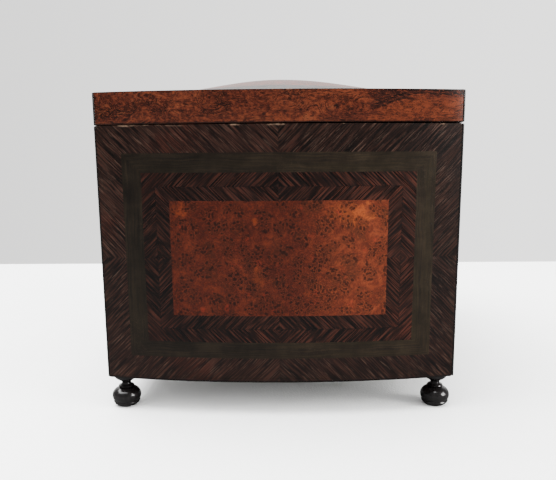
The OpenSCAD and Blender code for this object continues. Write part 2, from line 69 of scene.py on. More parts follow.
# ---- camera: the photograph's view of the left end ----
CAM_AT = (-0.4992, MID - 0.0040, 0.1446)
CAM_PITCH, CAM_YAW, CAM_ROLL = (math.radians(a) for a in (7.13, 0.74, -0.39))
SENSOR = 36
CAM_LENS = SENSOR * 631.8 / 556           # focal length over frame width, both in pixels

# ---- light ----
ROOM_LIGHT, WALL_LIGHT, TABLE_LIGHT, FILL_LIGHT = 0.25, 1.7, 5.0, 3.1
WALL_BACK, WALL_FRONT = 1.6, 2.25         # the seen wall, from the back of the box to its front

# ---- figure and finish of the woods ----
DIAGONAL = 0.7071
SLIP = 0.0019                  # width of one slip of the chevron band
EYES = 440.0                   # burr eyes in a metre
POLISH, RIM_POLISH = 0.25, 0.2   # specular level of the veneers
FACE_SEED = {"left": 0.0, "front": 3.1, "right": 7.7, "back": 11.3, "top": 15.9}
# how much light each veneer gives back, against its colours below
TINT = {"crossband": (0.245, 0.190, 0.155), "green": (0.295, 0.26, 0.21),
        "chevron": (0.31, 0.18, 0.13), "burr": (0.31, 0.155, 0.064), "rim": (0.39, 0.255, 0.20)}
BURR_DARK, BURR_BODY = (0.058, 0.0135, 0.0065), (0.105, 0.0235, 0.0098)
BURR_LIGHT, BURR_GOLD = (0.205, 0.056, 0.022), (0.40, 0.120, 0.026)
# golden places in the burr of each face: middle and reach, along the face and up it
GOLD_PLACES = (((0.0115, -0.009), (0.0034, 0.0080)), ((-0.041, 0.025), (0.0130, 0.0065)),
               ((0.0550, 0.027), (0.0050, 0.0045)), ((0.0130, 0.021), (0.0022, 0.0024)))
# knots in the rim's left end: middle, across the end and up, and reach
RIM_KNOTS = (((-0.0065, 0.1780), 0.0014), ((-0.0310, 0.1735), 0.0013),
             ((0.0365, 0.1785), 0.0010))


def make_camera():
    cam = bpy.data.objects.new("camera", bpy.data.cameras.new("camera"))
    bpy.context.collection.objects.link(cam)
    cam.data.sensor_width = SENSOR
    cam.data.lens = CAM_LENS
    cam.data.clip_start = 0.01
    ahead = Vector((math.cos(CAM_PITCH) * math.cos(CAM_YAW),
                    math.cos(CAM_PITCH) * math.sin(CAM_YAW), -math.sin(CAM_PITCH)))
    right = ahead.cross(Vector((0, 0, 1))).normalized()
    up = right.cross(ahead)
    c, s = math.cos(CAM_ROLL), math.sin(CAM_ROLL)
    right, up = right * c + up * s, up * c - right * s
    turn = Matrix((right, up, -ahead)).transposed().to_4x4()
    cam.matrix_world = Matrix.Translation(CAM_AT) @ turn
    bpy.context.scene.camera = cam


# ---- node tree helpers ----

class Tree:
    """A material's node tree, with short calls for the nodes used here."""

    def __init__(self, name):
        self.mat = bpy.data.materials.new(name)
        self.mat.use_nodes = True
        self.nt = self.mat.node_tree
        self.nt.nodes.clear()
        out = self.nt.nodes.new("ShaderNodeOutputMaterial")
        self.shader = self.nt.nodes.new("ShaderNodeBsdfPrincipled")
        self.link(self.shader.outputs[0], out.inputs[0])
        self.place = self.nt.nodes.new("ShaderNodeTexCoord").outputs["Object"]
        split = self.nt.nodes.new("ShaderNodeSeparateXYZ")
        self.link(self.place, split.inputs[0])
        self.x, self.y, self.z = split.outputs

    def link(self, a, b):
        self.nt.links.new(a, b)

    def put(self, socket, value):
        if isinstance(value, bpy.types.NodeSocket):
            self.link(value, socket)
        else:
            socket.default_value = value

    def math(self, op, *values):
        n = self.nt.nodes.new("ShaderNodeMath")
        n.operation = op
        for s, v in zip(n.inputs, values):
            self.put(s, v)
        return n.outputs[0]

    def add(self, a, b): return self.math("ADD", a, b)
    def sub(self, a, b): return self.math("SUBTRACT", a, b)
    def mul(self, a, b): return self.math("MULTIPLY", a, b)
    def div(self, a, b): return self.math("DIVIDE", a, b)
    def low(self, a, b): return self.math("MINIMUM", a, b)
    def high(self, a, b): return self.math("MAXIMUM", a, b)
    def size(self, a): return self.math("ABSOLUTE", a)
    def over(self, a, b): return self.math("GREATER_THAN", a, b)

    def step(self, v, a, b, to=(0.0, 1.0)):
        """Smooth step from a to b; a may be the larger."""
        n = self.nt.nodes.new("ShaderNodeMapRange")
        n.interpolation_type = "SMOOTHSTEP"
        self.put(n.inputs["Value"], v)
        if a > b:
            a, b, to = b, a, to[::-1]
        for key, value in zip(("From Min", "From Max", "To Min", "To Max"), (a, b, *to)):
            n.inputs[key].default_value = value
        return n.outputs[0]

    def vec(self, x, y, z=0.0):
        n = self.nt.nodes.new("ShaderNodeCombineXYZ")
        for s, v in zip(n.inputs, (x, y, z)):
            self.put(s, v)
        return n.outputs[0]

    def noise(self, vec, scale=1.0, detail=3.0, rough=0.5, twist=0.0, out="Fac"):
        n = self.nt.nodes.new("ShaderNodeTexNoise")
        self.put(n.inputs["Vector"], vec)
        for key, value in (("Scale", scale), ("Detail", detail), ("Roughness", rough),
                           ("Distortion", twist)):
            self.put(n.inputs[key], value)
        return n.outputs[out]

    def grain(self, across, fine, along, slow, seed, detail=2.0, rough=0.5, twist=0.0):
        """Noise drawn out along one direction: fine and slow are its changes in a metre."""
        place = self.vec(self.mul(across, fine), self.mul(along, slow), seed)
        return self.noise(place, 1.0, detail, rough, twist)

    def off(self, noise, reach):
        """A noise as a push to either side."""
        return self.mul(self.sub(noise, 0.5), reach)

    def cells(self, vec, scale, jitter, out="Distance"):
        n = self.nt.nodes.new("ShaderNodeTexVoronoi")
        n.voronoi_dimensions = "2D"
        self.put(n.inputs["Vector"], vec)
        n.inputs["Scale"].default_value = scale
        n.inputs["Randomness"].default_value = jitter
        return n.outputs[out]

    def chance(self, vec):
        n = self.nt.nodes.new("ShaderNodeTexWhiteNoise")
        self.put(n.inputs["Vector"], vec)
        return n.outputs["Value"]

    def ramp(self, fac, *stops):
        n = self.nt.nodes.new("ShaderNodeValToRGB")
        self.put(n.inputs[0], fac)
        e = n.color_ramp.elements
        while len(e) < len(stops):
            e.new(0.5)
        for k, (at, colour) in zip(e, stops):
            k.position = at
            k.color = (*colour, 1)
        return n.outputs[0]

    def mix(self, fac, a, b, mode="MIX"):
        n = self.nt.nodes.new("ShaderNodeMix")
        n.data_type = "RGBA"
        n.blend_type = mode
        ends = [s for s in n.inputs if s.type == "RGBA"]
        self.put(n.inputs[0], fac)
        for s, v in zip(ends, (a, b)):
            self.put(s, v if isinstance(v, bpy.types.NodeSocket) else (*v, 1))
        return [s for s in n.outputs if s.type == "RGBA"][0]

    def times(self, colour, by):
        return self.mix(1.0, colour, by, "MULTIPLY")

    def blend(self, fac, a, b):
        """a where fac is 0 and b where it is 1, for plain numbers."""
        return self.add(self.mul(a, self.sub(1.0, fac)), self.mul(b, fac))

    def bump(self, height, distance, strength):
        n = self.nt.nodes.new("ShaderNodeBump")
        n.inputs["Distance"].default_value = distance
        n.inputs["Strength"].default_value = strength
        self.put(n.inputs["Height"], height)
        self.link(n.outputs[0], self.shader.inputs["Normal"])

    def finish(self, colour, rough, tint=None, **fixed):
        if tint:
            colour = self.times(colour, tint)
        self.put(self.shader.inputs["Base Color"], colour)
        self.put(self.shader.inputs["Roughness"], rough)
        for k, v in fixed.items():
            self.shader.inputs[k.replace("_", " ")].default_value = v
        return self.mat


def scaled(colour, by):
    """A plain colour times a number, or times three."""
    by = by if isinstance(by, tuple) else (by,) * 3
    return tuple(c * k for c, k in zip(colour, by))


# ---- where a point lies on a marquetry face ----

def face_place(t, face):
    """How far a point is along the face and up it, from the panel's middle."""
    if face == "top":
        return t.x, t.sub(t.y, MID)
    return t.sub(t.y, MID) if face in ("left", "right") else t.x, t.sub(t.z, PANEL_Z)


def side_gap(t, face, s):
    """How far a point of a wall is in from the wall's side edges."""
    half = HY if face in ("left", "right") else HX
    drop = t.mul(t.sub(SEAM_Z, t.z), LEAN)
    return t.sub(t.sub(half, drop), t.size(s))


def top_place(t):
    """u and v from -1 to 1 over the plan of the domed top."""
    d = t.sub(t.y, MID)
    u0 = t.div(t.x, TOP_X)
    front = t.mul(t.mul(t.over(0.0, d), FRONT_BOW), t.sub(1.0, t.mul(u0, t.mul(u0, 0.86))))
    v = t.div(d, t.add(TOP_Y, front))
    u = t.div(t.x, t.add(TOP_X, t.mul(END_BOW, t.sub(1.0, t.mul(v, v)))))
    return u, v


# ---- wear and grain that several woods share ----

def wear(t, colour, amount=1.0):
    """Fine pale scratches and rubbed spots, the same everywhere."""
    scratch = t.noise(t.place, 210.0, 2.0, 0.6, 2.5)
    line = t.step(t.size(t.sub(scratch, 0.5)), 0.006, 0.0)
    some = t.step(t.noise(t.place, 34.0, 1.0), 0.58, 0.7)
    return t.mix(t.mul(t.mul(line, some), 0.30 * amount), colour, (0.35, 0.24, 0.18))


def flitch_tone_and_painted_side_light(t, colour, luck, s, face):
    """One flitch of veneer darker or lighter than the next, and painted light that makes it paler
    towards the lit side.
    """
    # painted light: paler towards the side where the light falls, darker on the other
    painted_side_light = t.step(s, 0.07, -0.07, (0.72, 1.22)) if face != "top" else 1.0
    k = t.mul(painted_side_light, t.add(0.86, t.mul(luck, 0.28)))
    return t.times(colour, t.vec(k, k, k))


def edge_wear_and_highlights(t):
    """Rubbed, pale wood along the top edge of the case, partly real wear and partly painted
    highlights where the edge catches the light.
    """
    near = t.step(t.sub(SEAM_Z, t.z), 0.0011, 0.0002)
    spots = t.noise(t.vec(t.x, t.y, t.mul(t.z, 3.0)), 90.0, 3.0, 0.65)
    return t.mul(near, t.step(spots, 0.54, 0.66))


def warped(t, s, h, seed, amount, scale=55.0):
    """Face coordinates, and the same pushed about by a slow noise, so that figure swirls."""
    p = t.vec(t.add(s, seed), t.add(h, seed * 0.7), seed * 1.3)
    bend = t.nt.nodes.new("ShaderNodeVectorMath")
    bend.operation = "MULTIPLY_ADD"
    t.link(t.noise(p, scale, 3.0, 0.55, 0.0, "Color"), bend.inputs[0])
    bend.inputs[1].default_value = (amount,) * 3
    t.link(p, bend.inputs[2])
    return p, bend.outputs[0]


def spot(t, s, h, at, reach, ragged):
    """1 inside a ragged oval round a place on the face, falling to 0 at its edge."""
    ds = t.mul(t.sub(s, at[0]), 1 / reach[0])
    dh = t.mul(t.sub(h, at[1]), 1 / reach[1])
    d = t.math("SQRT", t.add(t.mul(ds, ds), t.mul(dh, dh)))
    return t.step(t.add(d, ragged), 1.2, 0.5)


# ---- the marquetry's woods ----

def crossband_wood(face):
    t = Tree("rosewood_crossband_" + face)
    s, h = face_place(t, face)
    a, b = t.size(s), t.size(h)
    across, along = t.mul(t.sub(a, b), DIAGONAL), t.mul(t.add(a, b), DIAGONAL)
    # the strips of the border, cut from different flitches at the mitres
    quarter = t.add(t.mul(t.over(s, 0.0), 2.0), t.mul(t.over(h, 0.0), 4.0))
    seed = t.add(FACE_SEED[face], quarter)
    c = t.add(across, t.off(t.grain(along, 30.0, across, 60.0, seed), 0.0025))
    lines = t.grain(c, 1700.0, along, 50.0, seed, 1.0)
    broad = t.grain(c, 230.0, along, 26.0, seed, 3.0, 0.6)
    hairlines = t.step(t.grain(c, 2300.0, along, 75.0, t.add(seed, 9.0), 1.0, 0.6), 0.62, 0.68)
    pores = t.step(t.grain(c, 2600.0, along, 160.0, seed, 2.0), 0.36, 0.28)
    cloud = t.noise(t.place, 38.0, 3.0, 0.6)
    colour = t.ramp(t.blend(0.5, broad, cloud), (0.34, (0.015, 0.0066, 0.0050)),
                    (0.5, (0.025, 0.0106, 0.0076)), (0.66, (0.040, 0.0160, 0.0112)))
    colour = t.mix(t.mul(t.step(lines, 0.52, 0.62), 0.60), colour, (0.115, 0.053, 0.040))
    colour = t.mix(t.mul(t.step(lines, 0.48, 0.38), 0.80), colour, (0.002, 0.0012, 0.0010))
    luck = t.add(0.80, t.mul(t.chance(t.vec(seed, 4.2, 3.0)), 0.42))
    colour = t.times(colour, t.vec(luck, luck, luck))
    redder = t.times(colour, (1.3, 0.92, 0.8))
    colour = t.mix(t.step(t.noise(t.place, 21.0, 2.0), 0.54, 0.66), colour, redder)
    colour = t.mix(t.mul(hairlines, 0.45), colour, (0.30, 0.215, 0.18))
    colour = t.mix(t.mul(pores, 0.8), colour, (0.005, 0.003, 0.002))
    if face != "top":
        # pale rubbed wear and painted highlights along the top edge
        colour = t.mix(t.mul(edge_wear_and_highlights(t), 0.85), colour, (0.45, 0.36, 0.28))
        # darker along the bottom edge
        darker_bottom_edge = t.step(t.sub(t.z, FOOT_H), 0.0018, 0.0002)
        colour = t.mix(darker_bottom_edge, colour, (0.012, 0.008, 0.006))
    colour = wear(t, colour)
    t.bump(t.sub(t.mul(lines, 0.5), pores), 0.00003, 0.4)
    return t.finish(colour, t.add(0.24, t.mul(broad, 0.12)), TINT["crossband"],
                    Specular_IOR_Level=POLISH)


def green_wood(face):
    t = Tree("green_stained_wood_" + face)
    s, h = face_place(t, face)
    # flat is 1 on the strips that run along the face
    if face == "top":
        u, v = top_place(t)
        flat = t.over(t.size(v), t.size(u))
    else:
        low = t.low(t.sub(SEAM_Z, t.z), t.add(t.sub(t.z, FOOT_H), CROSS - CROSS_LOW))
        flat = t.over(side_gap(t, face, s), low)
    # grain runs along each strip, and the strips meet in mitres
    across = t.blend(flat, s, h)
    along = t.blend(flat, h, s)
    seed = t.add(FACE_SEED[face] + 30.0, t.mul(flat, 9.0))
    c = t.add(across, t.off(t.grain(along, 40.0, across, 40.0, seed), 0.004))
    lines = t.grain(c, 1500.0, along, 28.0, seed, 3.0, 0.6)
    broad = t.grain(c, 260.0, along, 12.0, t.add(seed, 5.0))
    pores = t.step(t.grain(across, 3800.0, along, 300.0, seed), 0.38, 0.3)
    mottle = t.noise(t.place, 90.0, 4.0, 0.6)
    colour = t.ramp(t.blend(0.4, lines, mottle), (0.38, (0.012, 0.0082, 0.0048)),
                    (0.5, (0.026, 0.0178, 0.0105)), (0.62, (0.050, 0.036, 0.021)))
    colour = t.mix(t.mul(t.step(broad, 0.35, 0.65), 0.35), colour, (0.030, 0.0235, 0.010))
    colour = t.mix(t.mul(pores, 0.6), colour, (0.006, 0.004, 0.003))
    # random flitch tone, and painted light paler towards the lit side
    colour = flitch_tone_and_painted_side_light(t, colour, t.chance(t.vec(seed, 6.1, 1.0)), s, face)
    colour = wear(t, colour, 0.7)
    t.bump(t.sub(t.mul(lines, 0.4), pores), 0.000025, 0.4)
    return t.finish(colour, t.add(0.26, t.mul(mottle, 0.10)), TINT["green"],
                    Specular_IOR_Level=POLISH)


def chevron_wood(face):
    t = Tree("chevron_rosewood_" + face)
    s, h = face_place(t, face)
    # inner is 1 in the row next to the panel, and joint falls to 0 between the two rows
    if face == "top":
        u, v = top_place(t)
        inner = t.over(t.low(t.sub(1 - 2 * CHEVRON_JOINT / CELLS_U, t.size(u)),
                             t.sub(1 - 2 * CHEVRON_JOINT / CELLS_V, t.size(v))), 0.0)
        joint = 1.0
    else:
        split = CROSS + GREEN + CHEVRON / 2
        split_low = CROSS_LOW + GREEN_LOW + CHEVRON / 2
        ends = t.low(t.sub(t.sub(SEAM_Z, t.z), split), t.sub(t.sub(t.z, FOOT_H), split_low))
        depth = t.low(t.sub(side_gap(t, face, s), split), ends)
        inner = t.over(depth, 0.0)
        joint = t.step(t.size(depth), 0.0, 0.00028)
    a, b = t.size(s), t.size(h)
    minus, plus = t.mul(t.sub(a, b), DIAGONAL), t.mul(t.add(a, b), DIAGONAL)
    across = t.blend(inner, plus, minus)
    along = t.blend(inner, minus, plus)
    quarter = t.add(t.mul(t.over(s, 0.0), 3.0), t.mul(t.over(h, 0.0), 7.0))
    key = t.add(t.add(quarter, t.mul(inner, 17.0)), FACE_SEED[face])
    place = t.div(across, SLIP)
    slip = t.math("FLOOR", place)
    edge = t.sub(0.5, t.size(t.sub(t.math("FRACT", place), 0.5)))
    tone = t.chance(t.vec(slip, key, 0.0))
    redness = t.chance(t.vec(slip, key, 5.0))
    lines = t.grain(across, 1700.0, along, 60.0, key, 1.0)
    depth_of_tone = t.add(t.mul(tone, 0.24), t.mul(t.noise(t.place, 30.0, 3.0), 0.82))
    colour = t.ramp(depth_of_tone, (0.25, (0.0055, 0.0028, 0.0022)),
                    (0.55, (0.018, 0.0078, 0.0056)), (0.78, (0.036, 0.0140, 0.0092)),
                    (1.0, (0.085, 0.031, 0.018)))
    corner = t.step(t.low(t.step(a, 0.045, 0.078), t.step(b, 0.018, 0.04)), 0.2, 1.0)
    colour = t.mix(t.mul(corner, t.mul(redness, 0.55)), colour, (0.078, 0.024, 0.015))
    colour = t.mix(t.mul(t.step(lines, 0.52, 0.62), 0.64), colour, (0.140, 0.061, 0.044))
    colour = t.mix(t.mul(t.step(lines, 0.48, 0.40), 0.85), colour, (0.003, 0.0018, 0.0015))
    glue = (0.004, 0.0025, 0.002)
    colour = t.mix(t.mul(t.step(edge, 0.085, 0.02), 0.75), colour, glue)
    colour = t.mix(t.mul(t.sub(1.0, joint), 0.7), colour, glue)
    # random flitch tone, and painted light paler towards the lit side
    colour = flitch_tone_and_painted_side_light(t, colour, t.chance(t.vec(key, 2.3, 8.0)), s, face)
    colour = wear(t, colour, 0.8)
    t.bump(t.add(t.mul(lines, 0.35), t.step(edge, 0.0, 0.1)), 0.000025, 0.4)
    return t.finish(colour, t.add(0.25, t.mul(tone, 0.1)), TINT["chevron"],
                    Specular_IOR_Level=POLISH)


def burr_wood(face):
    """Thuya burr: mottled cloud, clusters of small dark eyes with paler rings, golden patches."""
    t = Tree("burr_thuya_" + face)
    s, h = face_place(t, face)
    p, q = warped(t, s, h, FACE_SEED[face] * 0.37, 0.010)
    cloud = t.noise(q, 60.0, 5.0, 0.6, 0.5)
    mottle = t.noise(q, 260.0, 4.0, 0.62, 0.8)
    colour = t.ramp(t.blend(0.52, cloud, mottle),
                    (0.34, BURR_DARK), (0.5, BURR_BODY), (0.67, BURR_LIGHT))
    ragged = t.off(t.noise(q, 300.0, 3.0, 0.6), 2.2)
    fleck = t.step(t.noise(q, 520.0, 3.0, 0.6), 0.30, 0.52)
    patch = 0.0
    for at, reach in GOLD_PLACES:
        patch = t.high(patch, spot(t, s, h, at, reach, ragged))
    colour = t.mix(t.mul(t.mul(patch, fleck), 0.48), colour, BURR_GOLD)
    # groups of eyes, each group in a darker, greener stain
    uneven = t.off(t.noise(q, 330.0, 2.0), 0.5)
    group = t.step(t.add(t.cells(q, 105.0, 0.85), uneven), 0.46, 0.34)
    loose = t.step(t.noise(p, 120.0, 2.0), 0.60, 0.66)
    where = t.high(group, t.mul(loose, 0.85))
    pick = t.chance(t.cells(q, EYES, 0.9, "Position"))
    torn = t.off(t.noise(q, 1500.0, 2.0), 0.5)
    gap = t.sub(t.add(t.cells(q, EYES, 0.9), torn), t.add(0.15, t.mul(pick, 0.17)))
    eye = t.mul(t.step(gap, 0.12, 0.0), t.mul(where, t.step(pick, 0.10, 0.25)))
    halo = t.mul(t.step(t.size(t.sub(gap, 0.20)), 0.12, 0.0), where)
    colour = t.mix(t.mul(where, 0.50), colour, scaled(BURR_DARK, (0.66, 0.95, 0.8)))
    colour = t.mix(t.mul(halo, 0.5), colour, BURR_LIGHT)
    # greener places, small red places, fibre, and the eyes over them
    green = t.mul(t.step(t.noise(q, 75.0, 2.0), 0.56, 0.68), 0.45)
    colour = t.mix(green, colour, scaled(BURR_DARK, (0.95, 1.6, 1.5)))
    red = t.mul(t.step(t.noise(p, 130.0, 2.0), 0.62, 0.76), 0.5)
    colour = t.mix(red, colour, (0.34, 0.050, 0.026))
    fibre = t.noise(q, 1100.0, 2.0, 0.65, 0.8)
    colour = t.mix(t.mul(t.step(fibre, 0.48, 0.33), 0.55), colour, scaled(BURR_DARK, 0.5))
    colour = t.mix(t.mul(t.step(fibre, 0.54, 0.66), 0.6), colour, BURR_LIGHT)
    colour = t.mix(t.mul(eye, 0.72), colour, scaled(BURR_DARK, (0.34, 0.33, 0.22)))
    t.bump(t.sub(t.mul(fibre, 0.35), t.mul(eye, 0.6)), 0.00003, 0.4)
    # painted light: the veneer is painted paler towards the lit side of each panel
    pale = t.times(colour, (2.0, 2.7, 4.1))
    colour = t.mix(t.step(t.add(s, t.off(cloud, 0.05)), -0.004, -0.046), colour, pale)
    colour = wear(t, colour, 0.8)
    return t.finish(colour, t.add(0.25, t.mul(cloud, 0.10)), TINT["burr"],
                    Specular_IOR_Level=POLISH)


def rim_wood():
    """Burr cut along the stem: contour lines that flow round a few knots, dark flames."""
    t = Tree("rim_burr")
    across = t.sub(t.y, MID)
    s = t.add(across, t.mul(t.x, 1.37))      # one coordinate round the whole rim
    dark, body, light = (0.026, 0.0085, 0.0055), (0.092, 0.0240, 0.0118), (0.215, 0.066, 0.026)
    q = warped(t, t.mul(s, 0.42), t.sub(t.z, 0.17), 5.3, 0.012, 62.0)[1]
    # knots on the left end; the figure's contour lines close round them
    wobble = t.off(t.noise(t.place, 210.0, 3.0, 0.6), 0.9)
    left = t.over(-0.13, t.x)
    near, core = 0.0, 0.0
    for at, reach in RIM_KNOTS:
        ring = (reach * 7.0, reach * 4.6)
        near = t.high(near, spot(t, across, t.z, at, ring, t.mul(wobble, 0.25)))
        core = t.high(core, spot(t, across, t.z, at, (reach, reach), t.mul(wobble, 1.6)))
    near, core = t.mul(near, left), t.mul(core, left)
    flow = t.mul(t.noise(q, 42.0, 3.0, 0.45), t.blend(near, 24.0, 8.0))
    rings = t.math("FRACT", t.add(flow, t.mul(near, 13.0)))
    contour = t.step(t.size(t.sub(rings, 0.5)), 0.26, 0.05)
    glint = t.step(t.size(t.sub(rings, 0.84)), 0.10, 0.0)
    some = t.step(t.noise(q, 95.0, 2.0), 0.44, 0.58)
    cloud = t.noise(q, 70.0, 5.0, 0.62, 0.7)
    mottle = t.noise(t.place, 420.0, 3.0, 0.65)
    colour = t.ramp(t.blend(0.38, cloud, mottle), (0.38, dark), (0.49, body), (0.60, light))
    colour = t.mix(t.mul(contour, t.blend(some, 0.25, 0.75)), colour, (0.020, 0.0070, 0.0045))
    colour = t.mix(t.mul(t.mul(glint, some), 0.35), colour, (0.36, 0.150, 0.062))
    flame = t.step(t.grain(s, 24.0, t.z, 190.0, 3.0, 3.0, 0.6, 1.2), 0.56, 0.68)
    colour = t.mix(t.mul(flame, 0.55), colour, (0.020, 0.0075, 0.005))
    colour = t.mix(t.mul(core, 0.85), colour, (0.010, 0.0045, 0.0035))
    # a double dark vein that climbs to the left end's front corner, dark above it, gold below
    climb = t.low(0.1800, t.add(0.1722, t.mul(t.sub(-0.051, across), 0.36)))
    lift = t.sub(t.add(t.z, t.off(t.noise(t.place, 120.0), 0.003)), climb)
    on = t.mul(left, t.step(across, -0.046, -0.054))
    vein = t.high(t.step(t.size(lift), 0.0009, 0.0002),
                  t.step(t.size(t.sub(lift, 0.0021)), 0.0008, 0.0002))
    above = t.mul(t.step(lift, -0.0002, 0.0010), on)
    colour = t.mix(t.mul(above, 0.78), colour, (0.024, 0.0085, 0.0085))
    colour = t.mix(t.mul(t.mul(vein, on), 0.85), colour, (0.008, 0.0035, 0.003))
    gold = t.mul(t.mul(on, t.step(lift, -0.0012, -0.004)), t.step(cloud, 0.42, 0.55))
    colour = t.mix(t.mul(gold, 0.22), colour, (0.30, 0.090, 0.022))
    fibre = t.noise(q, 1500.0, 2.0, 0.6, 0.8)
    colour = t.mix(t.mul(t.step(fibre, 0.48, 0.36), 0.66), colour, (0.016, 0.006, 0.004))
    colour = t.mix(t.mul(t.step(fibre, 0.54, 0.64), 0.62), colour, light)
    # browner at the back, and redder to orange towards the front
    brown = t.times(colour, (1.06, 1.10, 1.15))
    orange = t.times(colour, (1.0, 0.93, 0.88))
    colour = t.mix(t.step(across, 0.055, -0.005), brown, colour)
    colour = t.mix(t.step(across, -0.01, -0.08), colour, orange)
    # dark arrises, chipped along the top, with painted highlights on the top edge
    top, foot = t.sub(RIM_Z, t.z), t.sub(t.z, SEAM_Z)
    colour = t.mix(t.mul(t.step(top, 0.0006, 0.0002), 0.75), colour, (0.012, 0.007, 0.005))
    # pale chips, partly wear and partly painted highlights along the top edge
    chips_and_highlights = t.mul(t.step(top, 0.0008, 0.0003),
                  t.step(t.noise(t.place, 260.0, 3.0, 0.6), 0.60, 0.68))
    colour = t.mix(chips_and_highlights, colour, (0.22, 0.13, 0.085))
    # painted shade: the rim is painted dark along its foot, where the gap at the seam lies in
    # shade
    colour = t.mix(t.mul(t.step(foot, 0.0018, 0.0009), 0.85), colour, (0.008, 0.005, 0.004))
    colour = wear(t, colour)
    t.bump(fibre, 0.00003, 0.4)
    return t.finish(colour, t.add(0.23, t.mul(cloud, 0.10)), TINT["rim"],
                    Specular_IOR_Level=RIM_POLISH)


# ---- the other materials ----

def ebony():
    t = Tree("ebonised_wood")
    grain = t.noise(t.vec(t.mul(t.x, 900.0), t.mul(t.y, 900.0), t.mul(t.z, 60.0)), 1.0, 3.0, 0.6)
    mottle = t.noise(t.place, 160.0)
    colour = t.ramp(grain, (0.3, (0.0055, 0.0050, 0.0050)), (0.7, (0.0165, 0.0145, 0.0142)))
    rub = t.step(t.noise(t.place, 420.0, 4.0, 0.7), 0.62, 0.74)
    colour = t.mix(t.mul(rub, 0.25), colour, (0.034, 0.026, 0.023))
    t.bump(grain, 0.0001, 0.35)
    return t.finish(colour, t.add(0.13, t.mul(mottle, 0.16)), (0.5, 0.48, 0.49),
                    Specular_IOR_Level=0.45)


def plain_wood(name, along, pale, deep):
    """Solid wood with growth lines along one axis: the boards that the veneer is laid on."""
    t = Tree(name)
    a, b, c = {"x": (t.y, t.z, t.x), "y": (t.x, t.z, t.y)}[along]

    def drawn_out(across, slow, *more):
        return t.noise(t.vec(t.mul(a, across), t.mul(b, across), t.mul(c, slow)), 1.0, *more)

    lines = drawn_out(260.0, 7.0, 4.0, 0.6, 0.5)
    fine = drawn_out(1900.0, 60.0, 2.0)
    colour = t.ramp(t.blend(0.25, lines, fine), (0.3, deep), (0.7, pale))
    pores = t.step(fine, 0.40, 0.30)
    colour = t.mix(t.mul(pores, 0.5), colour, scaled(deep, 0.4))
    stain = t.step(t.noise(t.place, 14.0, 4.0, 0.6), 0.55, 0.8)
    colour = t.mix(t.mul(stain, 0.4), colour, scaled(deep, 0.6))
    t.bump(t.sub(lines, pores), 0.00015, 0.5)
    return t.finish(colour, t.add(0.48, t.mul(fine, 0.2)), (0.22, 0.17, 0.15),
                    Specular_IOR_Level=0.15)


def velvet():
    t = Tree("velvet")
    pile = t.noise(t.place, 2600.0, 2.0, 0.7)
    nap = t.noise(t.place, 45.0, 3.0, 0.6, 0.8)
    colour = t.ramp(t.blend(0.4, nap, pile), (0.3, (0.055, 0.004, 0.010)),
                    (0.6, (0.12, 0.010, 0.022)), (0.8, (0.20, 0.022, 0.042)))
    faded = t.step(t.noise(t.place, 16.0, 3.0, 0.6), 0.55, 0.75)
    colour = t.mix(t.mul(faded, 0.35), colour, (0.20, 0.05, 0.06))
    t.bump(t.add(pile, t.mul(nap, 0.8)), 0.0004, 0.7)
    return t.finish(colour, 0.92, (0.42, 0.40, 0.40), Sheen_Weight=0.22, Sheen_Roughness=0.4,
                    Sheen_Tint=(0.85, 0.20, 0.25, 1), Specular_IOR_Level=0.1)


def satin():
    t = Tree("satin")
    weave = t.mul(t.math("SINE", t.mul(t.x, 9000.0)), t.math("SINE", t.mul(t.y, 9000.0)))
    fold_height_and_shade = t.noise(t.place, 55.0, 3.0, 0.5, 1.2)
    # painted shade: the satin is painted darker where its folds dip
    colour = t.ramp(fold_height_and_shade, (0.3, (0.44, 0.33, 0.20)), (0.7, (0.66, 0.54, 0.36)))
    foxed = t.step(t.noise(t.place, 95.0, 4.0, 0.7), 0.60, 0.72)
    colour = t.mix(t.mul(foxed, 0.4), colour, (0.30, 0.17, 0.08))
    t.bump(t.add(t.mul(weave, 0.15), fold_height_and_shade), 0.0003, 0.6)
    return t.finish(colour, t.add(0.34, t.mul(fold_height_and_shade, 0.15)), (0.42, 0.38, 0.34),
                    Sheen_Weight=0.15, Sheen_Roughness=0.3, Specular_IOR_Level=0.3)


def metal(name, clean, tarnished, amount, rough):
    t = Tree(name)
    cloud = t.noise(t.place, 150.0, 5.0, 0.65, 0.6)
    brushed = t.noise(t.vec(t.mul(t.x, 260.0), t.mul(t.y, 2600.0), t.mul(t.z, 2600.0)), 1.0, 2.0)
    spots = t.step(t.noise(t.place, 900.0, 3.0, 0.7), 0.62, 0.72)
    dull = t.step(cloud, 0.42, 0.66)
    colour = t.mix(t.mul(dull, amount), clean, tarnished)
    colour = t.mix(t.mul(spots, 0.5), colour, scaled(tarnished, 0.4))
    t.bump(t.blend(0.6, brushed, cloud), 0.00008, 0.5)
    uneven = t.add(t.mul(dull, 0.25), t.mul(brushed, 0.08))
    return t.finish(colour, t.add(rough, uneven), Metallic=1.0)


def floor_cloth():
    t = Tree("table_cover")
    soft = t.noise(t.place, 6.0)
    colour = t.ramp(soft, (0.3, (0.90, 0.91, 0.91)), (0.7, (0.93, 0.94, 0.94)))
    weave = t.mul(t.math("SINE", t.mul(t.x, 5200.0)), t.math("SINE", t.mul(t.y, 5200.0)))
    path = t.nt.nodes.new("ShaderNodeLightPath")
    # what lights the object from below is dimmer, and what its gloss mirrors is calm
    lit = t.mix(path.outputs["Is Diffuse Ray"], (0.10, 0.10, 0.10), (0.28, 0.28, 0.28))
    colour = t.mix(path.outputs["Is Camera Ray"], lit, colour)
    nap = t.noise(t.place, 700.0, 2.0, 0.6)
    t.bump(t.add(nap, t.mul(weave, 0.2)), 0.0008, 0.5)
    return t.finish(colour, 0.9, Specular_IOR_Level=0.0)


# ---- materials on the CAD nodes ----

def dress(mat, *names):
    for name in names:
        for slot in nodes[name].material_slots:
            slot.material = mat


make_camera()

